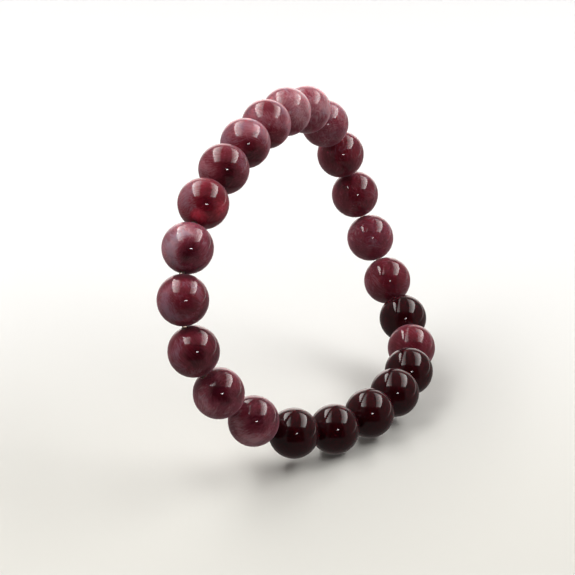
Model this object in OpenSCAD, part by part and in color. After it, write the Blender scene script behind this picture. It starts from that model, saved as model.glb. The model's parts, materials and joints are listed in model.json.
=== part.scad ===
// Gemstone bead bracelet: one closed loop of drilled round stones on clear elastic.
// It keeps its worn form, a slanted and rounded loop. X runs from left to right, Y from
// the near side to the far side and Z up, with the origin in the middle of the loop.

/* [Stones] */
// Diameter of each round stone
bead_d = 8; // [6:0.5:10]
// Number of stones on the loop
bead_count = 23; // [21:1:25]
// Mean room between neighbouring stones, measured along the elastic
bead_gap = 0.1; // [0.08:0.01:0.14]

/* [Drilled hole] */
// Diameter of the hole through each stone
bore_d = 1; // [0.9:0.05:1.2]
// Width of the polished slope round each mouth of the hole
mouth_w = 0.15; // [0.1:0.05:0.2]

/* [Elastic] */
// Diameter of the clear elastic
elastic_d = 0.8; // [0.5:0.05:0.8]
// Stretch of hole at each mouth in which the elastic may start to bend
bend_room = 0.25; // [0.2:0.05:0.3]

/* [Hidden] */
$fn = 48;

// Stations that the middle of the elastic passes through, an eighth of the loop apart.
// Each row gives the place to the right, to the far side and up, for 8 mm stones.
stations = [
    [4, 24, 16],        // far side, high, where the loop begins to go down
    [-5, 5, 22],        // top of the loop
    [-14, -15, 17],     // near side, high
    [-17.5, -28.5, -1], // nearest point, halfway down
    [-4, -24, -19.5],   // near side, low
    [12, -10.5, -21.5], // underside
    [18.5, 11, -19],    // far side, low
    [12, 27.5, -5.5]    // farthest point, halfway up
];
station_count = len(stations);

// The loop is walked in small steps of turn to find how far along it each stone lies
turn_step = 1;
step_count = 360 / turn_step;
// Below this sine, a turn counts as being exactly at a station
tiny_sine = 0.000001;

// Weight of one station at a point of the curve that is turn degrees away from it
function station_weight(turn) =
    abs(sin(turn / 2)) < tiny_sine
        ? 1
        : sin(station_count * turn / 2) * cos(turn / 2) / (station_count * sin(turn / 2));

// Point of the smooth closed curve through the stations, at a turn of 0 to 360 degrees
function curve_point(turn) =
    [for (k = [0 : station_count - 1]) station_weight(turn - 360 * k / station_count)] * stations;

// Length of the step of the curve that ends at step number i
function step_length(i) = norm(curve_point(i * turn_step) - curve_point((i - 1) * turn_step));

// Rows of length along the curve and turn in degrees, one for each step
travel = [
    for (i = 0, length = 0; i <= step_count; i = i + 1, length = length + step_length(i))
        [length, i * turn_step]
];
curve_length = travel[step_count][0];

// The loop is as long as its stones with their room, so the curve is scaled to that
pitch = bead_d + bead_gap;
loop_scale = bead_count * pitch / curve_length;

// Middle of stone number i, counted from 1 at the first station, towards the near side
function bead_middle(i) =
    loop_scale * curve_point(lookup(curve_length * ((i - 1) % bead_count) / bead_count, travel));

// Direction of the hole of stone number i: from the stone before it to the stone after it
function unit(v) = v / norm(v);
function bore_direction(i) = unit(bead_middle(i + 1) - bead_middle(i - 1 + bead_count));

// The four tones of the stone, and the tone of each stone in order along the loop
mauve = "#8a575c";
plum = "#6b3037";
ruby = "#781b24";
wine = "#3a1013";
tones = [
    mauve, mauve, mauve, plum, plum, plum, ruby,  // over the top, to the near side
    mauve, plum, plum, mauve, mauve,              // down the near side
    wine, wine, wine, wine, wine,                 // along the underside
    plum, wine, plum, mauve, plum, plum           // up the far side
];
function bead_tone(i) = tones[(i - 1) % len(tones)];
function bead_name(i) = str("bead_", i < 10 ? "0" : "", i);

// Half the length of the straight hole, up to where its wall meets the round outside
mouth_z = sqrt(pow(bead_d / 2, 2) - pow(bore_d / 2, 2));
// How far the cutting shapes stand past the stone
cut_past = 0.5;

// One mouth of the hole: a slope at 45 degrees that takes the sharp edge away
module mouth() {
    slope_h = mouth_w + cut_past;
    translate([0, 0, mouth_z - mouth_w])
        cylinder(h = slope_h, d1 = bore_d, d2 = bore_d + 2 * slope_h);
}

// A drilled round stone whose hole runs along Z
module drilled_stone() {
    difference() {
        sphere(d = bead_d);
        cylinder(h = bead_d + 2 * cut_past, d = bore_d, center = true);
        mouth();
        mirror([0, 0, 1]) mouth();
    }
}

// Stone number i, turned so that its hole follows the loop
module bead(i) {
    direction = bore_direction(i);
    color(bead_tone(i))
        translate(bead_middle(i))
            rotate([0, acos(direction.z), atan2(direction.y, direction.x)])
                drilled_stone();
}

// The elastic lies straight in each hole and bends between the mouths.
// Its sides are set round it from a direction that points out of the loop.
elastic_sides = 8;
side_turn = 360 / elastic_sides;
elastic_hold = mouth_z - bend_room;
elastic_rings = 2 * bead_count;

// Where ring number r of the elastic lies: even ones enter a hole, odd ones leave it
function ring_middle(r) =
    let (i = floor(r / 2) % bead_count + 1, way = r % 2 == 0 ? -1 : 1)
        bead_middle(i) + way * elastic_hold * bore_direction(i);

// Corners of ring number r, square to the hole that it lies in
function ring_corners(r) =
    let (
        middle = ring_middle(r),
        along = bore_direction(floor(r / 2) % bead_count + 1),
        side = unit(cross(along, middle)),
        outward = cross(side, along)
    )
        [
            for (s = [0 : elastic_sides - 1])
                middle + elastic_d / 2 * (cos(s * side_turn) * outward + sin(s * side_turn) * side)
        ];

// Number of the corner at side s of ring r, where both numbers wrap round
function corner(r, s) = (r % elastic_rings) * elastic_sides + s % elastic_sides;

module elastic_thread() {
    corners = [for (r = [0 : elastic_rings - 1]) each ring_corners(r)];
    faces = [
        for (r = [0 : elastic_rings - 1], s = [0 : elastic_sides - 1])
            each [
                [corner(r, s), corner(r + 1, s), corner(r + 1, s + 1)],
                [corner(r, s), corner(r + 1, s + 1), corner(r, s + 1)]
            ]
    ];
    color("#e9e4e2") polyhedron(points = corners, faces = faces);
}

for (i = [1 : bead_count])
    bead(i);
elastic_thread();
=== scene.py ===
"""Looks of a gemstone bead bracelet in its worn form: polished drilled stones on clear elastic."""

import json
import logging
import math
import random
from dataclasses import dataclass, field
from enum import Enum
from typing import Any

import bmesh
import bpy
from mathutils import Euler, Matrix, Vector


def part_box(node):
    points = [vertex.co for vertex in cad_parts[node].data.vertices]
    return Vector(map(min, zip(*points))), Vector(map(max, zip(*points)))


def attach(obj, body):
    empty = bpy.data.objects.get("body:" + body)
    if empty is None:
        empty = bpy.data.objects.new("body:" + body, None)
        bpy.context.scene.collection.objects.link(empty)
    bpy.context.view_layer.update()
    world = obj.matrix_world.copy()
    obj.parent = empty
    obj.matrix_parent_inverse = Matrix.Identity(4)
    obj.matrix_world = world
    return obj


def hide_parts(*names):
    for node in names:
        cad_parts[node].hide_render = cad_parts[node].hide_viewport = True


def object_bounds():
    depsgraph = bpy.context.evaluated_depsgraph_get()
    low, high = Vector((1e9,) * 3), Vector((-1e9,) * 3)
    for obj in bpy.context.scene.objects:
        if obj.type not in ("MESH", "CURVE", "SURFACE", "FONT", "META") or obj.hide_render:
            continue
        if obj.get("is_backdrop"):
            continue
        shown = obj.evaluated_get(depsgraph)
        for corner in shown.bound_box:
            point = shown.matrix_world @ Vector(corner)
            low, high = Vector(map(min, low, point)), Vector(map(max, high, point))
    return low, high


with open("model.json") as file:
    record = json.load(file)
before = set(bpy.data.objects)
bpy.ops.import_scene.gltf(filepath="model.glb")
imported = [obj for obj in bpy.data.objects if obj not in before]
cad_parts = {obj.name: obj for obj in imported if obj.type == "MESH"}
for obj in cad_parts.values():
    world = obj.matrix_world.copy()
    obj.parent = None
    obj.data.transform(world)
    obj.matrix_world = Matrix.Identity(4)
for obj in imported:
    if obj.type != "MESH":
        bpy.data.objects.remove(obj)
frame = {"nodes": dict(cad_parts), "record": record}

LOG = logging.getLogger("bracelet")
MM = 0.001
BODY = "root"
ELASTIC_NODE = "elastic_thread"
# Points closer than this count as one, in metres
SAME = 0.001 * MM
# Gap that keeps the paper clear of the lowest stone, in metres
PAPER_GAP = 0.05 * MM
# Angle at which the camera looks down, in degrees
CAMERA_DIP = 20.0
# Numbers of the colour sockets of a Mix node, whose names its other sockets share
MIX_A, MIX_B, MIX_RESULT = 6, 7, 2


# Helpers for colours, nodes and meshes
def linear(hex_colour: str) -> tuple[float, float, float, float]:
    """Turns an sRGB hex colour into the linear colour that a shader takes.

    Args:
        hex_colour: Six hex digits after a hash, such as "#8a5366".

    Returns:
        Linear red, green and blue, and an alpha of 1.
    """
    shares = [int(hex_colour[i:i + 2], 16) / 255 for i in (1, 3, 5)]
    red, green, blue = (
        s / 12.92 if s <= 0.04045 else ((s + 0.055) / 1.055) ** 2.4 for s in shares
    )
    return red, green, blue, 1.0


def add_node(tree: bpy.types.NodeTree, kind: str, inputs: dict[str | int, Any] | None = None,
             **settings: Any) -> bpy.types.Node:
    """Adds a node with its settings and links.

    Args:
        tree: Node tree that takes the node.
        kind: Blender's name of the kind of node.
        inputs: For each input, by name or number, its value or the output that feeds it.
        **settings: Values of the node's own properties.

    Returns:
        The new node.
    """
    node = tree.nodes.new(kind)
    for name, value in settings.items():
        setattr(node, name, value)
    for key, value in (inputs or {}).items():
        if isinstance(value, bpy.types.NodeSocket):
            tree.links.new(value, node.inputs[key])
        else:
            node.inputs[key].default_value = value
    return node


def work_out(tree: bpy.types.NodeTree, operation: str, *values: Any,
             clamp: bool = False) -> bpy.types.NodeSocket:
    """Works out a number with a Math node.

    Args:
        tree: Node tree that takes the node.
        operation: Blender's name of the operation.
        *values: Its numbers, or the outputs that feed them, in order.
        clamp: Whether the result is kept between 0 and 1.

    Returns:
        The output with the result.
    """
    node = add_node(tree, "ShaderNodeMath", dict(enumerate(values)), operation=operation, use_clamp=clamp)
    return node.outputs["Value"]


def ease(tree: bpy.types.NodeTree, value: bpy.types.NodeSocket, span: tuple[float, float],
         ends: tuple[float, float] = (0.0, 1.0)) -> bpy.types.NodeSocket:
    """Eases a number smoothly from one value to another.

    Args:
        tree: Node tree that takes the node.
        value: Output that is read.
        span: Where the easing starts and where it ends; the first may be the larger.
        ends: The result before the start and after the end.

    Returns:
        The output with the result.
    """
    node = add_node(tree, "ShaderNodeMapRange", {
        "Value": value, "From Min": span[0], "From Max": span[1],
        "To Min": ends[0], "To Max": ends[1]}, interpolation_type="SMOOTHSTEP")
    return node.outputs["Result"]


def split(tree: bpy.types.NodeTree, vector: bpy.types.NodeSocket) -> bpy.types.bpy_prop_collection:
    """Splits a vector output into its X, Y and Z outputs."""
    return add_node(tree, "ShaderNodeSeparateXYZ", {"Vector": vector}).outputs


def new_material(name: str) -> tuple[bpy.types.Material, bpy.types.NodeTree]:
    """Makes an empty material.

    Args:
        name: Name of the material.

    Returns:
        The material and its node tree.
    """
    material = bpy.data.materials.new(name)
    material.use_nodes = True
    material.node_tree.nodes.clear()
    return material, material.node_tree


def finish_mesh(shape: bmesh.types.BMesh, name: str, material: bpy.types.Material) -> bpy.types.Object:
    """Turns a finished bmesh into a smooth object at the origin.

    Args:
        shape: The bmesh, already in place in the shared frame. It is freed.
        name: Name of the object.
        material: Its only material.

    Returns:
        The object, linked to the scene.
    """
    bmesh.ops.recalc_face_normals(shape, faces=shape.faces)
    for face in shape.faces:
        face.smooth = True
    mesh = bpy.data.meshes.new(name)
    shape.to_mesh(mesh)
    shape.free()
    mesh.materials.append(material)
    piece = bpy.data.objects.new(name, mesh)
    link(piece)
    return piece


def link(item: bpy.types.Object) -> None:
    """Links an object to the scene."""
    bpy.context.scene.collection.objects.link(item)


# Finishes
class Tone(Enum):
    """Tone of a stone, by its name among the record's material slots."""

    MAUVE = "stone_mauve"
    PLUM = "stone_plum"
    RUBY = "stone_ruby"
    WINE = "stone_wine"


@dataclass(frozen=True)
class StoneFinish:
    """Mica quartz, ground round, tumbled and polished: a glassy surface over a cloudy, half clear body.

    Light enters it and scatters in pale veils of fine mica, which come back rosy or violet,
    while the clear stone between the veils stays deep and dark. The mica just under the
    polish gives its edges a soft bloom. Only the wall of the drilled hole is left matt.
    Patterns follow the attributes that each Stone writes, and their sizes are in mm.

    Attributes:
        name: Name of the material.
        deep: Colour of clear stone, where light is swallowed.
        body: Colour halfway between clear stone and a veil.
        veil: Colour of a thick veil with rosy iron stain.
        violet: Colour of a thick veil of violet mica.
        share: How milky the stone is on the whole, from 0 to 1.
        cloud, cloud_size: Strength and size of the soft clouds.
        silk, silk_width, silk_length: Strength and size of the drawn-out streaks of mica.
        seams, seam_width, seam_spacing: Strength, share and spacing of healed cracks.
        flecks, fleck_size, fleck_spacing: Strength, size and spacing of single mica flakes.
        fleck_core: Share of a flake's size within which it is at its full strength.
        warp, warp_size: How far and over what length the layers of the rock are bent.
        lean_size, lean_span: Size of the places that lean to rosy or to violet, and how
            sharply they part.
        cloud_octaves, silk_octaves, warp_octaves, lean_octaves: How many finer layers of
            noise each pattern has.
        fineness: Share of its strength that each finer layer of clouds and streaks keeps.
        glow: How far red, green and blue light spread inside the stone.
        index: Its index of refraction.
        clearness: Share of the light that passes straight through.
        bloom, bloom_width, bloom_tint: Strength, width and colour of the bloom at the edges.
        polish: Roughness of the polish, where it is best and where soft mica has dulled it.
        polish_span: Strengths of a streak between which the polish dulls.
        drilled: Roughness that the wall of the drilled hole has over the polish.
    """

    name: str
    deep: str
    body: str
    veil: str
    violet: str
    share: float
    bloom: float
    cloud: float = 0.52
    cloud_size: float = 3.4
    silk: float = 0.34
    silk_width: float = 0.28
    silk_length: float = 2.2
    seams: float = 0.16
    seam_width: float = 0.022
    seam_spacing: float = 8.5
    flecks: float = 0.12
    fleck_size: float = 0.16
    fleck_spacing: float = 1.3
    fleck_core: float = 0.33
    warp: float = 4.0
    warp_size: float = 5.0
    lean_size: float = 3.0
    lean_span: tuple[float, float] = (0.42, 0.58)
    cloud_octaves: float = 5.0
    silk_octaves: float = 3.0
    warp_octaves: float = 1.0
    lean_octaves: float = 2.0
    fineness: float = 0.6
    glow: tuple[float, float, float] = (3.2, 0.8, 0.9)
    index: float = 1.55
    clearness: float = 0.15
    bloom_width: float = 0.45
    bloom_tint: str = "#e8b2c2"
    polish: tuple[float, float] = (0.03, 0.05)
    polish_span: tuple[float, float] = (0.4, 0.7)
    drilled: float = 0.55

    def material(self) -> bpy.types.Material:
        """Builds the finish's material.

        Returns:
            The material, ready for a mesh.
        """
        material, tree = new_material(self.name)
        grain = add_node(tree, "ShaderNodeAttribute", attribute_name=Stone.GRAIN).outputs["Vector"]
        marks = add_node(tree, "ShaderNodeAttribute", attribute_name=Stone.MARKS).outputs["Vector"]
        # The marks' milkiness includes the painted light and shade of each stone's patches
        milky, lean, drilled = split(tree, marks)
        drift = add_node(tree, "ShaderNodeTexNoise", {
            "Vector": grain, "Scale": 1 / self.warp_size, "Detail": self.warp_octaves})
        layers = add_node(tree, "ShaderNodeVectorMath", {
            0: drift.outputs["Color"], 1: (self.warp,) * 3, 2: grain},
            operation="MULTIPLY_ADD").outputs["Vector"]
        silk = self._silk(tree, layers)
        polish = ease(tree, silk, self.polish_span, self.polish)
        shader = add_node(tree, "ShaderNodeBsdfPrincipled", {
            "Base Color": self._colour(tree, grain, layers, silk, milky, lean),
            "Roughness": work_out(tree, "MULTIPLY_ADD", drilled, self.drilled, polish),
            "IOR": self.index, "Subsurface Weight": 1.0, "Subsurface Radius": self.glow,
            "Subsurface Scale": MM, "Transmission Weight": self.clearness,
            "Sheen Weight": self.bloom, "Sheen Roughness": self.bloom_width,
            "Sheen Tint": linear(self.bloom_tint),
        }, subsurface_method="RANDOM_WALK")
        add_node(tree, "ShaderNodeOutputMaterial", {"Surface": shader.outputs["BSDF"]})
        return material

    def _silk(self, tree: bpy.types.NodeTree, layers: bpy.types.NodeSocket) -> bpy.types.NodeSocket:
        """Draws noise out along the layers into streaks of mica.

        Args:
            tree: Node tree that takes the nodes.
            layers: Place in the rough rock, in mm, bent as the rock's layers are.

        Returns:
            The output with the streaks' strength, from 0 to 1.
        """
        across, along = 1 / self.silk_width, 1 / self.silk_length
        drawn = add_node(tree, "ShaderNodeMapping", {"Vector": layers, "Scale": (across, across, along)})
        silk = add_node(tree, "ShaderNodeTexNoise", {
            "Vector": drawn.outputs["Vector"], "Scale": 1.0, "Detail": self.silk_octaves,
            "Roughness": self.fineness})
        return silk.outputs["Fac"]

    def _colour(self, tree: bpy.types.NodeTree, grain: bpy.types.NodeSocket,
                layers: bpy.types.NodeSocket, silk: bpy.types.NodeSocket,
                milky: bpy.types.NodeSocket, lean: bpy.types.NodeSocket) -> bpy.types.NodeSocket:
        """Works out the colour from clear to veiled stone.

        Args:
            tree: Node tree that takes the nodes.
            grain: Place in the rough rock, in mm.
            layers: The same place, bent as the rock's layers are.
            silk: Streaks of mica.
            milky: How much milkier than usual the stone is here, painted light and shade included.
            lean: How far the veils lean to violet, or below 0 to rosy.

        Returns:
            The colour output.
        """
        cloud = add_node(tree, "ShaderNodeTexNoise", {
            "Vector": layers, "Scale": 1 / self.cloud_size, "Detail": self.cloud_octaves,
            "Roughness": self.fineness})
        seam = add_node(tree, "ShaderNodeTexVoronoi", {
            "Vector": layers, "Scale": 1 / self.seam_spacing}, feature="DISTANCE_TO_EDGE")
        line = ease(tree, seam.outputs["Distance"], (self.seam_width, 0.0))
        flake = add_node(tree, "ShaderNodeTexVoronoi", {"Vector": layers, "Scale": 1 / self.fleck_spacing})
        edge = self.fleck_size / self.fleck_spacing
        fleck = ease(tree, flake.outputs["Distance"], (edge, edge * self.fleck_core))
        # Noise has a mean of a half, so its weight is doubled and then taken off once
        level = work_out(tree, "ADD", milky, self.share - self.cloud - self.silk)
        for part, weight in ((cloud.outputs["Fac"], 2 * self.cloud), (silk, 2 * self.silk),
                             (work_out(tree, "MULTIPLY", line, silk), self.seams), (fleck, self.flecks)):
            level = work_out(tree, "MULTIPLY_ADD", part, weight, level)
        level = work_out(tree, "ADD", level, 0.0, clamp=True)
        sway = add_node(tree, "ShaderNodeTexNoise", {
            "Vector": grain, "Scale": 1 / self.lean_size, "Detail": self.lean_octaves})
        side = ease(tree, work_out(tree, "ADD", sway.outputs["Fac"], lean), self.lean_span)
        mixed = add_node(tree, "ShaderNodeMix", {
            "Factor": side, MIX_A: self._ramp(tree, level, self.veil),
            MIX_B: self._ramp(tree, level, self.violet)}, data_type="RGBA")
        return mixed.outputs[MIX_RESULT]

    def _ramp(self, tree: bpy.types.NodeTree, level: bpy.types.NodeSocket,
              veil: str) -> bpy.types.NodeSocket:
        """Colours the stone from clear over the body's colour to a veil's.

        Args:
            tree: Node tree that takes the node.
            level: How milky the stone is, from 0 to 1.
            veil: Hex colour of a thick veil.

        Returns:
            The colour output.
        """
        ramp = add_node(tree, "ShaderNodeValToRGB", {"Fac": level})
        stops = ramp.color_ramp.elements
        stops[0].color = linear(self.deep)
        stops[1].color = linear(veil)
        halfway = stops.new(0.5)
        halfway.color = linear(self.body)
        return ramp.outputs["Color"]


@dataclass(frozen=True)
class ElasticFinish:
    """Extruded clear polyurethane: soft gloss, uneven where it was stretched, and a cream tint.

    It shows the dark stones through it, with a pale gleam along its top.

    Attributes:
        name: Name of the material.
        tint: Colour of the light that it lets through.
        streak: Size of the places where its gloss differs, in mm.
        gloss: Roughness of the glossiest and of the dullest places.
        gloss_span: Strengths of the pattern between which the gloss changes.
        index: Its index of refraction.
        clearness: Share of the light that passes straight through.
        milk, milk_depth: Share of the rest that spreads inside it, and how far, in mm.
        milk_glow: How far red, green and blue light spread, as shares of that depth.
    """

    name: str = "clear_polyurethane_elastic"
    tint: str = "#f8e0cf"
    streak: float = 0.4
    gloss: tuple[float, float] = (0.06, 0.18)
    gloss_span: tuple[float, float] = (0.3, 0.7)
    index: float = 1.5
    clearness: float = 0.85
    milk: float = 0.8
    milk_depth: float = 0.6
    milk_glow: tuple[float, float, float] = (1.0, 0.9, 0.8)

    def material(self) -> bpy.types.Material:
        """Builds the finish's material.

        Returns:
            The material, ready for a mesh.
        """
        material, tree = new_material(self.name)
        place = add_node(tree, "ShaderNodeTexCoord").outputs["Object"]
        streaks = add_node(tree, "ShaderNodeTexNoise", {"Vector": place, "Scale": 1 / (self.streak * MM)})
        shader = add_node(tree, "ShaderNodeBsdfPrincipled", {
            "Base Color": linear(self.tint), "IOR": self.index,
            "Roughness": ease(tree, streaks.outputs["Fac"], self.gloss_span, self.gloss),
            "Subsurface Weight": self.milk, "Subsurface Radius": self.milk_glow,
            "Subsurface Scale": self.milk_depth * MM, "Transmission Weight": self.clearness,
        }, subsurface_method="RANDOM_WALK")
        add_node(tree, "ShaderNodeOutputMaterial", {"Surface": shader.outputs["BSDF"]})
        return material


@dataclass(frozen=True)
class PaperFinish:
    """Matt background paper: soft and pale with hardly any shine. Its near part is painted
    darker, a painted shade, so it is paler further back.

    Attributes:
        name: Name of the material.
        near_tint, far_tint: Colours of its near and of its far part; the darker near colour is painted
            shade.
        lighten: Where along Y it begins to lighten and where it is palest, in metres.
        fade: How far from the middle it is gone and where it begins to fade, in metres.
        roughness, shine: Roughness and strength of its faint shine.
    """

    name: str = "matt_paper_painted_shade_near"
    near_tint: str = "#dcdfda"
    far_tint: str = "#eef3f5"
    lighten: tuple[float, float] = (-0.06, 0.14)
    fade: tuple[float, float] = (0.60, 0.32)
    roughness: float = 0.9
    shine: float = 0.2

    def material(self) -> bpy.types.Material:
        """Builds the finish's material.

        Returns:
            The material, ready for a mesh.
        """
        material, tree = new_material(self.name)
        place = add_node(tree, "ShaderNodeTexCoord").outputs["Object"]
        # Painted shade: the paper is darker towards the front and paler further back
        ramp = add_node(tree, "ShaderNodeValToRGB", {
            "Fac": ease(tree, split(tree, place)["Y"], self.lighten)})
        ramp.color_ramp.elements[0].color = linear(self.near_tint)
        ramp.color_ramp.elements[1].color = linear(self.far_tint)
        reach = add_node(tree, "ShaderNodeVectorMath", {0: place}, operation="LENGTH").outputs["Value"]
        shader = add_node(tree, "ShaderNodeBsdfPrincipled", {
            "Base Color": ramp.outputs["Color"], "Roughness": self.roughness,
            "Specular IOR Level": self.shine, "Alpha": ease(tree, reach, self.fade),
        })
        add_node(tree, "ShaderNodeOutputMaterial", {"Surface": shader.outputs["BSDF"]})
        return material


# Stones and elastic
@dataclass(frozen=True)
class MilkAndPaintedLightPatch:
    """A patch of a stone that makes it milkier, or with a negative strength clearer. Some are
    the stone's own clouds; many are painted light and painted shade.

    Attributes:
        right, up: Its middle on the stone's disc as the camera sees it, from -1 to 1.
        spread: Angle over which it fades, in degrees.
        strength: How much milkier the stone is in its middle.
        lean: How far it leans to violet mica, or below 0 to rosy iron stain.
        ring: For a ring, the angle from its middle where it is strongest, in degrees. The rings
            are painted light: a pale band along an outline, or round a darker middle.
        dip: Angle from which the disc is seen, in degrees.
    """

    right: float
    up: float
    spread: float
    strength: float
    lean: float = 0.0
    ring: float = 0.0
    dip: float = CAMERA_DIP

    def at(self, way: Vector) -> Vector:
        """Works out what the patch adds in one direction.

        Args:
            way: Unit direction from the stone's middle.

        Returns:
            The milkiness and the lean that it adds, and 0.
        """
        dip = math.radians(self.dip)
        near = math.sqrt(max(0.0, 1 - self.right ** 2 - self.up ** 2))
        upward = Vector((0, math.sin(dip), math.cos(dip)))
        forward = Vector((0, -math.cos(dip), math.sin(dip)))
        place = self.right * Vector((1, 0, 0)) + self.up * upward + near * forward
        off = (math.degrees(way.angle(place)) - self.ring) / self.spread
        fade = math.exp(-off ** 2)
        return fade * Vector((self.strength, self.lean, 0))


@dataclass
class Stone:
    """One round stone, drilled through its middle, with a small polished slope at each mouth.

    Attributes:
        name: Name of its CAD node, which ends in its number along the elastic.
        middle: Its middle, in metres.
        bore_direction: Unit vector along its hole.
        tone: Which of the finishes it has.
        veils: Its patches: milky and clear places, and many that are painted light and shade.
        diameter, bore, mouth: Its size, its hole's and the width of the slopes, in metres.
        steps_round, steps_down, mouth_steps: Fineness of the mesh.
        rock: Half the width of the rough rock that it was cut from, in mm.
    """

    GRAIN = "grain"
    MARKS = "marks"

    name: str
    middle: Vector
    bore_direction: Vector
    tone: Tone
    veils: tuple[MilkAndPaintedLightPatch, ...] = ()
    diameter: float = 8.0 * MM
    bore: float = 1.0 * MM
    mouth: float = 0.15 * MM
    steps_round: int = 104
    steps_down: int = 64
    mouth_steps: int = 4
    rock: float = 90.0

    @property
    def number(self) -> int:
        """Its number along the elastic."""
        return int(self.name[-2:])

    def build(self, material: bpy.types.Material) -> bpy.types.Object:
        """Spins the stone's outline round its hole and dresses it.

        Args:
            material: Material of its tone.

        Returns:
            The piece, which stands in for its CAD node.
        """
        shape = bmesh.new()
        mouth_angle = math.asin(self.bore / self.diameter)
        top = Vector((self.bore, 0, self.diameter * math.cos(mouth_angle))) / 2
        first = shape.verts.new(top)
        bmesh.ops.spin(shape, geom=[first], cent=(0, 0, 0), axis=(0, 1, 0),
                       angle=math.pi - 2 * mouth_angle, steps=self.steps_down)
        shape.verts.ensure_lookup_table()
        last = min(shape.verts, key=lambda v: v.co.z)
        shape.edges.new((last, first))
        bmesh.ops.spin(shape, geom=shape.verts[:] + shape.edges[:], cent=(0, 0, 0), axis=(0, 0, 1),
                       angle=math.tau, steps=self.steps_round, use_merge=True)
        rims = [e for e in shape.edges if self._on_rim(e)]
        bmesh.ops.bevel(shape, geom=rims, offset=self.mouth, offset_type="OFFSET",
                        segments=self.mouth_steps, profile=0.5, affect="EDGES", material=-1)
        drilled = {v for v in shape.verts if self._on_wall(v)}
        turn = self.bore_direction.to_track_quat("Z", "Y").to_matrix()
        bmesh.ops.rotate(shape, verts=shape.verts, cent=(0, 0, 0), matrix=turn)
        self._note_marks(shape, drilled)
        bmesh.ops.translate(shape, verts=shape.verts, vec=self.middle)
        piece = finish_mesh(shape, f"stone_{self.number:02d}", material)
        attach(piece, BODY)
        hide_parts(self.name)
        return piece

    def _note_marks(self, shape: bmesh.types.BMesh, drilled: set[bmesh.types.BMVert]) -> None:
        """Writes the attributes that the finish reads at each point.

        The first is where the point lay in the rough rock, in mm. The second holds how
        milky the stone is there, with the painted light and shade of its patches added in,
        how far its veils lean to violet, and 1 on the hole's wall.

        Args:
            shape: The stone, turned into place round its own middle.
            drilled: Points on the wall of its hole.
        """
        chance = random.Random(self.number)
        cut = Euler([chance.uniform(0, math.tau) for _ in range(3)]).to_matrix()
        spot = Vector([chance.uniform(-self.rock, self.rock) for _ in range(3)])
        grain = shape.verts.layers.float_vector.new(self.GRAIN)
        marks = shape.verts.layers.float_vector.new(self.MARKS)
        for vert in shape.verts:
            vert[grain] = cut @ vert.co / MM + spot
            way = vert.co.normalized()
            vert[marks] = sum((v.at(way) for v in self.veils), Vector((0, 0, float(vert in drilled))))

    def _on_wall(self, vert: bmesh.types.BMVert) -> bool:
        """Tells whether a point lies on the wall of the hole, before the stone is turned."""
        return vert.co.xy.length < self.bore / 2 + SAME

    def _on_rim(self, edge: bmesh.types.BMEdge) -> bool:
        """Tells whether an edge lies on the sharp rim round a mouth of the hole."""
        one, other = edge.verts
        return self._on_wall(one) and self._on_wall(other) and one.co.z * other.co.z > 0


@dataclass
class Elastic:
    """The clear cord, straight in each hole and bending between the mouths.

    Attributes:
        stones: The stones that it runs through, in order.
        diameter: Its thickness, in metres.
        bend_room: How far inside a stone's outline it may start to bend, in metres.
        name: Name of the piece.
        roundness, steps: Fineness of its round outline and of each bend.
    """

    stones: list[Stone]
    diameter: float = 0.8 * MM
    bend_room: float = 0.25 * MM
    name: str = "elastic_cord"
    roundness: int = 3
    steps: int = 5

    def build(self, material: bpy.types.Material) -> bpy.types.Object:
        """Bends a round tube through every stone and dresses it.

        Args:
            material: Material of the elastic.

        Returns:
            The piece, which stands in for the CAD elastic.
        """
        curve = bpy.data.objects.new("elastic_line", self._line())
        link(curve)
        graph = bpy.context.evaluated_depsgraph_get()
        shape = bmesh.new()
        shape.from_mesh(curve.evaluated_get(graph).to_mesh())
        bpy.data.objects.remove(curve)
        bmesh.ops.remove_doubles(shape, verts=shape.verts, dist=SAME)
        piece = finish_mesh(shape, self.name, material)
        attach(piece, BODY)
        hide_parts(ELASTIC_NODE)
        return piece

    def _line(self) -> bpy.types.Curve:
        """Makes the closed curve that the tube follows, with two points in each stone.

        Returns:
            The curve, which is as thick and as smooth as the elastic.
        """
        line = bpy.data.curves.new(self.name, "CURVE")
        line.dimensions = "3D"
        line.bevel_depth = self.diameter / 2
        line.bevel_resolution = self.roundness
        line.resolution_u = self.steps
        spline = line.splines.new("BEZIER")
        spline.bezier_points.add(2 * len(self.stones) - 1)
        spline.use_cyclic_u = True
        points = iter(spline.bezier_points)
        for stone in self.stones:
            reach = stone.diameter / 2 - self.bend_room
            for way in (-1, 1):
                point = next(points)
                point.co = stone.middle + way * reach * stone.bore_direction
                point.handle_left = point.co - self.bend_room * stone.bore_direction
                point.handle_right = point.co + self.bend_room * stone.bore_direction
        return line


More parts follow.
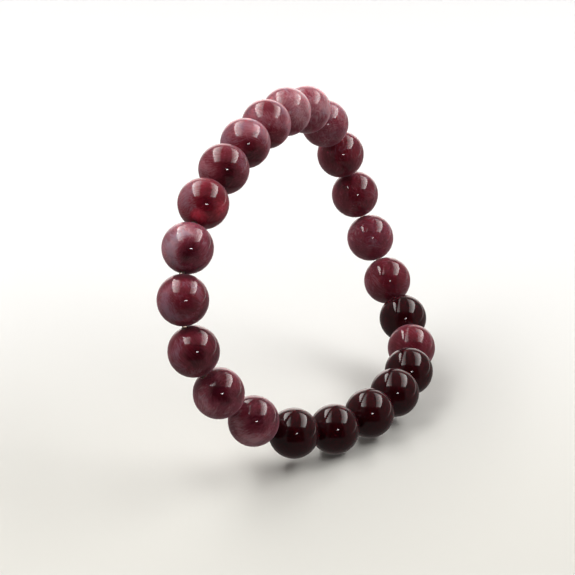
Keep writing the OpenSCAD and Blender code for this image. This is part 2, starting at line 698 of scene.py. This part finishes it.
# Studio
@dataclass
class Softbox:
    """A softbox that hangs face down over the table, brightest at its outer side.

    Attributes:
        name: Name of the light.
        left, right, near, far: Where its sides are before it is turned, in metres.
        turn: How far it is turned on the spot, anticlockwise from above, in degrees.
        height: Height over the bracelet's middle, in metres.
        inner, outer: Radiance at the side over the bracelet and at the side away from it.
        near_share, far_share: Shares of that radiance at its near end and at its far end.
        near_fade, far_fade: Parts of its length over which it rises to full and falls again.
        tint: Colour of its light.
    """

    name: str
    left: float
    right: float
    turn: float
    near: float = -0.30
    far: float = 0.46
    height: float = 0.40
    inner: float = 1.7
    outer: float = 7.7
    near_share: float = 0.8
    far_share: float = 0.7
    near_fade: tuple[float, float] = (0.0, 0.5)
    far_fade: tuple[float, float] = (0.6, 1.0)
    tint: str = "#fffaf7"

    def build(self) -> None:
        """Hangs the light, whose nodes fade it across and along."""
        width, depth = self.right - self.left, self.far - self.near
        lamp = bpy.data.lights.new(self.name, "AREA")
        lamp.shape = "RECTANGLE"
        lamp.size, lamp.size_y = width, depth
        # With this power, a strength of 1 in the nodes is a radiance of 1
        lamp.energy = math.pi * width * depth
        lamp.use_nodes = True
        tree = lamp.node_tree
        tree.nodes.clear()
        place = split(tree, add_node(tree, "ShaderNodeNewGeometry").outputs["Parametric"])
        ends = (self.inner, self.outer) if self.left > 0 else (self.outer, self.inner)
        across = ease(tree, place["X"], (0.0, 1.0), ends)
        along = work_out(tree, "MULTIPLY",
                         ease(tree, place["Y"], self.near_fade, (self.near_share, 1.0)),
                         ease(tree, place["Y"], self.far_fade, (1.0, self.far_share)))
        glow = add_node(tree, "ShaderNodeEmission", {
            "Color": linear(self.tint), "Strength": work_out(tree, "MULTIPLY", across, along)})
        add_node(tree, "ShaderNodeOutputLight", {"Surface": glow.outputs["Emission"]})
        light = bpy.data.objects.new(self.name, lamp)
        light.location = ((self.left + self.right) / 2, (self.near + self.far) / 2, self.height)
        light.rotation_euler.z = math.radians(self.turn)
        light.visible_camera = False
        link(light)


@dataclass
class SmallLamp:
    """The small oval lamp beside the camera that leaves a bright point on each stone.

    Attributes:
        name: Name of the light.
        place: Where it stands, in metres.
        width, height: Its size, in metres.
        radiance: How bright it is.
    """

    name: str = "small_lamp"
    place: tuple[float, float, float] = (0.098, -0.375, 0.115)
    width: float = 0.080
    height: float = 0.016
    radiance: float = 26.0

    def build(self) -> None:
        """Sets up the lamp, turned to the bracelet's middle."""
        lamp = bpy.data.lights.new(self.name, "AREA")
        lamp.shape = "ELLIPSE"
        lamp.size, lamp.size_y = self.width, self.height
        lamp.energy = self.radiance * math.pi * self.width * self.height
        light = bpy.data.objects.new(self.name, lamp)
        light.location = self.place
        light.rotation_euler = Vector(self.place).to_track_quat("Z", "Y").to_euler()
        light.visible_camera = False
        link(light)


@dataclass
class Tent:
    """The pale cloth round the table, open in front and lit brightly from behind.

    Each edge is a pair: where it begins and where it is complete. The opening's edges are
    slopes, across or up over towards the front; the others are parts of a unit direction.

    Attributes:
        tint: Colour of the light that it gives.
        cloth, opening, table, behind: Brightness of its parts.
        opening_left, opening_right, opening_top: Edges of the opening in front.
        least_ahead: Least part of a direction that counts as to the front, so that the
            slopes stay finite.
        table_edge: Edge of the table, below.
        behind_edge, behind_foot: Edge of the bright part and of its foot.
        strip: Brightness of the narrow gap between the cloth and the table, on the right.
        strip_height, strip_drop: Its height straight behind and its drop for each degree that
            it runs round from there.
        strip_width: Its width.
        strip_far, strip_near: Edges of its ends, as degrees round from straight behind.
        seen_tint, seen: Colour of the backdrop that the camera sees, and its brightness in
            front and behind.
        seen_edge: Where that brightness begins to rise and where it is complete.
    """

    tint: str = "#fff3ee"
    cloth: float = 0.20
    opening: float = 0.015
    table: float = 0.19
    behind: float = 2.2
    opening_left: tuple[float, float] = (-0.75, -0.45)
    opening_right: tuple[float, float] = (1.3, 0.9)
    opening_top: tuple[float, float] = (1.4, 1.1)
    least_ahead: float = 0.02
    table_edge: tuple[float, float] = (-0.28, -0.34)
    behind_edge: tuple[float, float] = (0.80, 1.0)
    behind_foot: tuple[float, float] = (-0.30, 0.05)
    strip: float = 3.0
    strip_height: float = 0.20
    strip_drop: float = 0.0042
    strip_width: float = 0.08
    strip_far: tuple[float, float] = (28.0, 38.0)
    strip_near: tuple[float, float] = (115.0, 45.0)
    seen_tint: str = "#fffdfa"
    seen: tuple[float, float] = (0.82, 0.97)
    seen_edge: tuple[float, float] = (-0.2, 0.9)

    def build(self) -> None:
        """Makes the world whose brightness follows the tent's parts."""
        world = bpy.data.worlds.new("tent")
        world.use_nodes = True
        tree = world.node_tree
        tree.nodes.clear()
        bpy.context.scene.world = world
        way = split(tree, add_node(tree, "ShaderNodeTexCoord").outputs["Generated"])
        opening = self._opening(tree, way)
        strength = add_node(tree, "ShaderNodeMapRange", {
            "Value": opening, "To Min": self.cloth, "To Max": self.opening}).outputs["Result"]
        behind = work_out(tree, "MULTIPLY", ease(tree, way["Y"], self.behind_edge),
                          ease(tree, way["Z"], self.behind_foot))
        for share, level in ((ease(tree, way["Z"], self.table_edge), self.table), (behind, self.behind),
                             (self._strip(tree, way), self.strip)):
            strength = add_node(tree, "ShaderNodeMix", {
                "Factor": share, "A": strength, "B": level}, data_type="FLOAT").outputs["Result"]
        tent = add_node(tree, "ShaderNodeBackground", {"Color": linear(self.tint), "Strength": strength})
        backdrop = add_node(tree, "ShaderNodeBackground", {
            "Color": linear(self.seen_tint), "Strength": ease(tree, way["Y"], self.seen_edge, self.seen)})
        both = add_node(tree, "ShaderNodeMixShader", {
            0: add_node(tree, "ShaderNodeLightPath").outputs["Is Camera Ray"],
            1: tent.outputs["Background"], 2: backdrop.outputs["Background"]})
        add_node(tree, "ShaderNodeOutputWorld", {"Surface": both.outputs["Shader"]})

    def _opening(self, tree: bpy.types.NodeTree,
                 way: bpy.types.bpy_prop_collection) -> bpy.types.NodeSocket:
        """Gives 1 in the opening in front and 0 on the cloth round it.

        Args:
            tree: Node tree that takes the nodes.
            way: X, Y and Z outputs of the direction.

        Returns:
            The output with the share.
        """
        ahead = work_out(tree, "MAXIMUM", work_out(tree, "MULTIPLY", way["Y"], -1.0),
                         self.least_ahead)
        across = work_out(tree, "DIVIDE", way["X"], ahead)
        upward = work_out(tree, "DIVIDE", way["Z"], ahead)
        between = work_out(tree, "MULTIPLY", ease(tree, across, self.opening_left),
                           ease(tree, across, self.opening_right))
        return work_out(tree, "MULTIPLY", between, ease(tree, upward, self.opening_top))

    def _strip(self, tree: bpy.types.NodeTree,
               way: bpy.types.bpy_prop_collection) -> bpy.types.NodeSocket:
        """Gives 1 in the narrow gap beside the table and 0 round it.

        Args:
            tree: Node tree that takes the nodes.
            way: X, Y and Z outputs of the direction.

        Returns:
            The output with the share.
        """
        bearing = work_out(tree, "DEGREES", work_out(tree, "ARCTAN2", way["X"], way["Y"]))
        drop = work_out(tree, "MULTIPLY_ADD", bearing, self.strip_drop, way["Z"])
        off = work_out(tree, "ABSOLUTE", work_out(tree, "SUBTRACT", drop, self.strip_height))
        length = work_out(tree, "MULTIPLY", ease(tree, bearing, self.strip_far),
                          ease(tree, bearing, self.strip_near))
        return work_out(tree, "MULTIPLY", ease(tree, off, (self.strip_width / 2, 0.0)), length)


@dataclass
class Studio:
    """Pale paper, soft light from above and the photograph's camera.

    Attributes:
        ground: Height of the paper, in metres.
        image_px, focal_px: Width of the photograph and its focal length, in pixels.
        sensor_mm: Width of the camera's sensor.
        nearest: Least distance that the camera shows, in metres.
        camera_place, camera_dip: Where the camera stands, in metres, and its dip, in degrees.
        paper_radius, paper_sides: Radius of the round paper, in metres, and its sides.
        lights: The lights and the tent.
    """

    ground: float
    image_px: int = 575
    focal_px: float = 2451.6
    sensor_mm: float = 36.0
    nearest: float = 0.01
    camera_place: tuple[float, float, float] = (-0.00232, -0.37548, 0.13197)
    camera_dip: float = CAMERA_DIP
    paper_radius: float = 0.65
    paper_sides: int = 64
    lights: list[Softbox | SmallLamp | Tent] = field(default_factory=lambda: [
        Softbox("softbox_left", left=-0.316, right=-0.076, turn=-7.0),
        Softbox("softbox_right", left=0.20, right=0.49, turn=12.0),
        SmallLamp(),
        Tent(),
    ])

    def build(self) -> None:
        """Sets up the camera, paper and lights."""
        self._camera()
        self._paper()
        for light in self.lights:
            light.build()
        scene = bpy.context.scene
        scene.view_settings.view_transform = "Standard"
        scene.view_settings.look = "None"

    def _camera(self) -> None:
        """Puts the camera where the photograph was taken from."""
        data = bpy.data.cameras.new("camera")
        data.sensor_width = self.sensor_mm
        data.lens = self.sensor_mm * self.focal_px / self.image_px
        data.clip_start = self.nearest
        camera = bpy.data.objects.new("camera", data)
        camera.location = self.camera_place
        camera.rotation_euler = (math.radians(90 - self.camera_dip), 0, 0)
        link(camera)
        bpy.context.scene.camera = camera

    def _paper(self) -> None:
        """Lays the round sheet of paper, which sends no light or reflection back to the stones."""
        shape = bmesh.new()
        bmesh.ops.create_circle(shape, cap_ends=True, segments=self.paper_sides,
                                radius=self.paper_radius)
        bmesh.ops.translate(shape, verts=shape.verts, vec=(0, 0, self.ground))
        paper = finish_mesh(shape, "paper", PaperFinish().material())
        paper.visible_glossy = False
        paper.visible_diffuse = False
        paper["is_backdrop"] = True


# The bracelet, put together
FINISHES = {
    Tone.MAUVE: StoneFinish("polished_mauve_mica_quartz", deep="#560c20", body="#964255",
                            veil="#d8a8b1", violet="#be9eae", share=0.44, bloom=0.58),
    Tone.PLUM: StoneFinish("polished_plum_mica_quartz", deep="#4a0715", body="#84293b",
                           veil="#ba7c8a", violet="#aa7e92", share=0.42, bloom=0.48),
    # The ruby veil colour also shows stone 7's painted glow of light shining through it
    Tone.RUBY: StoneFinish("polished_ruby_mica_quartz", deep="#520615", body="#8c1d31",
                           veil="#e24c64", violet="#ac7c8c", share=0.34, bloom=0.40),
    # The wine stones are the plum stone painted darker, with dimmer reflections: painted shade on the
    # lowest stones
    Tone.WINE: StoneFinish("wine_mica_quartz_painted_shade", deep="#2c060b", body="#420a13",
                           veil="#5a232b", violet="#50202e", share=0.3, bloom=0.06,
                           cloud=0.4, silk=0.05, silk_width=0.4, seams=0.0, flecks=0.0,
                           index=1.45),  # a lower index dims their reflections: painted shade, like their darker colours
}


def painted_rim_light(spread: float, strength: float, lean: float) -> MilkAndPaintedLightPatch:
    """Makes a pale ring along the right outline of a stone's disc: painted rim light from the bright
    background behind.
    """
    return MilkAndPaintedLightPatch(right=-0.25, up=-0.2, spread=spread, strength=strength, lean=lean, ring=96)


# Patches of single stones, by their number along the elastic. Some are the stones' own
# milky and clear places, but many paint light and shade into the colour: dark patches in the
# middle of the disc are a painted reflection of the dark opening in front, dark patches at the
# top are painted shade from the next stone, dark patches low down and on the right are painted
# shade, pale patches on the left and the rings are painted haze and rim light, and stone 7's
# bright rosy patch low in the middle is a painted glow of light shining through it.
# Each is given as right, up, spread and strength, then its lean and ring if it has them.
PATCHES_WITH_PAINTED_LIGHT = {
    1: (MilkAndPaintedLightPatch(0.2, 0.2, 60, 0.2),),
    2: (MilkAndPaintedLightPatch(0.3, 0.4, 60, 0.2), MilkAndPaintedLightPatch(0.8, 0.0, 30, 0.2, -0.1), painted_rim_light(16, 0.8, -0.2)),
    3: (MilkAndPaintedLightPatch(0.3, 0.2, 60, 0.28, -0.1), MilkAndPaintedLightPatch(-0.8, 0.0, 30, 0.2), MilkAndPaintedLightPatch(0.8, 0.1, 28, 0.1, -0.2),
        painted_rim_light(16, 0.8, -0.2)),
    4: (MilkAndPaintedLightPatch(-0.8, 0.2, 50, 0.4), MilkAndPaintedLightPatch(0.8, 0.1, 35, 0.35), MilkAndPaintedLightPatch(0.1, 0.2, 26, 0.3, -0.5),
        MilkAndPaintedLightPatch(0.05, 0.5, 20, -0.25), MilkAndPaintedLightPatch(0.1, -0.7, 40, -0.1), painted_rim_light(17, 1.0, -0.2)),
    5: (MilkAndPaintedLightPatch(-0.8, 0.3, 50, 0.4, 0.1), MilkAndPaintedLightPatch(0.7, 0.3, 40, 0.35), MilkAndPaintedLightPatch(0.1, 0.55, 32, 0.25),
        MilkAndPaintedLightPatch(0.1, -0.2, 28, -0.35), MilkAndPaintedLightPatch(0.2, -0.8, 40, -0.25), painted_rim_light(17, 0.6, -0.1)),
    6: (MilkAndPaintedLightPatch(0.75, 0.1, 32, 0.4, 0.1), MilkAndPaintedLightPatch(-0.75, 0.1, 32, 0.35, -0.1), MilkAndPaintedLightPatch(0.15, -0.1, 28, -0.35),
        MilkAndPaintedLightPatch(-0.35, -0.2, 20, 0.25, -0.4), MilkAndPaintedLightPatch(0.0, -0.65, 40, -0.35)),
    # Stone 7's first patch is a painted glow: light shining through the stone, low in its middle
    7: (MilkAndPaintedLightPatch(-0.18, -0.5, 20, 0.75, -0.4), MilkAndPaintedLightPatch(-0.6, 0.5, 35, 0.5, 0.3),
        MilkAndPaintedLightPatch(0.75, -0.25, 25, 0.45, -0.4), MilkAndPaintedLightPatch(-0.8, 0.0, 30, 0.25, 0.2), MilkAndPaintedLightPatch(0.15, 0.0, 25, -0.25),
        MilkAndPaintedLightPatch(-0.5, -0.6, 18, -0.2)),
    8: (MilkAndPaintedLightPatch(-0.3, 0.8, 45, 0.22), MilkAndPaintedLightPatch(0.1, -0.15, 14, 0.38, 0.1, ring=42),
        MilkAndPaintedLightPatch(-0.8, 0.1, 35, 0.15, 0.1), MilkAndPaintedLightPatch(-0.65, -0.45, 28, 0.2), MilkAndPaintedLightPatch(0.1, -0.2, 24, -0.45),
        MilkAndPaintedLightPatch(0.2, -0.85, 28, -0.45), MilkAndPaintedLightPatch(0.8, 0.0, 28, -0.4)),
    9: (MilkAndPaintedLightPatch(0.05, -0.05, 13, 0.45, 0.1, ring=44), MilkAndPaintedLightPatch(-0.3, -0.6, 25, 0.15), MilkAndPaintedLightPatch(0.05, -0.05, 24, 0.05),
        MilkAndPaintedLightPatch(0.75, -0.4, 30, -0.45), MilkAndPaintedLightPatch(-0.75, -0.15, 28, 0.2), MilkAndPaintedLightPatch(-0.7, -0.75, 20, -0.15),
        MilkAndPaintedLightPatch(0.05, 0.9, 32, -0.45)),
    10: (MilkAndPaintedLightPatch(0.05, -0.1, 14, 0.25, 0.1, ring=44), MilkAndPaintedLightPatch(-0.75, 0.0, 30, 0.1), MilkAndPaintedLightPatch(0.1, -0.1, 26, -0.35),
         MilkAndPaintedLightPatch(0.8, -0.5, 30, -0.35), MilkAndPaintedLightPatch(0.8, 0.15, 30, -0.4), MilkAndPaintedLightPatch(0.0, 0.85, 30, -0.45)),
    11: (MilkAndPaintedLightPatch(-0.5, -0.5, 40, 0.2, -0.2), MilkAndPaintedLightPatch(0.05, -0.05, 12, 0.15, ring=42),
         MilkAndPaintedLightPatch(0.05, -0.05, 28, -0.45), MilkAndPaintedLightPatch(-0.2, 0.8, 40, -0.35), MilkAndPaintedLightPatch(0.8, 0.1, 30, -0.4)),
    12: (MilkAndPaintedLightPatch(-0.2, -0.7, 45, 0.25, -0.3), MilkAndPaintedLightPatch(-0.6, -0.1, 35, 0.15, -0.2), MilkAndPaintedLightPatch(0.05, 0.0, 28, -0.35),
         MilkAndPaintedLightPatch(0.05, 0.0, 12, 0.2, ring=42), MilkAndPaintedLightPatch(0.8, 0.1, 30, -0.45), MilkAndPaintedLightPatch(0.0, 0.9, 45, -0.45)),
}


@dataclass
class Bracelet:
    """The whole loop: every stone of the frame, in order, and the elastic through them.

    Attributes:
        finishes: The finish of each tone.
        veils: The patches of single stones, by their number along the elastic; many are
        painted light and shade.
    """

    finishes: dict[Tone, StoneFinish]
    veils: dict[int, tuple[MilkAndPaintedLightPatch, ...]]

    def stones(self) -> list[Stone]:
        """Reads the stones' places and tones from the frame.

        Returns:
            The stones, in order along the elastic.
        """
        slots = {s["node"]: s["material_slot"] for s in frame["record"]["subparts"]}
        names = sorted(n for n in frame["nodes"] if n != ELASTIC_NODE)
        middles = [sum(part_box(n), Vector()) / 2 for n in names]
        count = len(names)
        return [
            Stone(name, middles[i], (middles[(i + 1) % count] - middles[i - 1]).normalized(),
                  Tone(slots[name]), self.veils.get(i + 1, ()))
            for i, name in enumerate(names)
        ]

    def build(self) -> None:
        """Builds and dresses every piece."""
        stones = self.stones()
        materials = {tone: finish.material() for tone, finish in self.finishes.items()}
        for stone in stones:
            piece = stone.build(materials[stone.tone])
            LOG.info("%s: %s, %d faces", piece.name, stone.tone.value, len(piece.data.polygons))
        cord = Elastic(stones).build(ElasticFinish().material())
        LOG.info("%s: %d faces", cord.name, len(cord.data.polygons))


def main() -> None:
    """Builds the studio and the bracelet, and logs the number of faces of each new piece."""
    logging.basicConfig(level=logging.INFO, format="%(name)s: %(message)s")
    cad_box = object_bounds()
    Studio(ground=cad_box[0].z - PAPER_GAP).build()
    Bracelet(FINISHES, PATCHES_WITH_PAINTED_LIGHT).build()


if __name__ == "__main__":
    main()
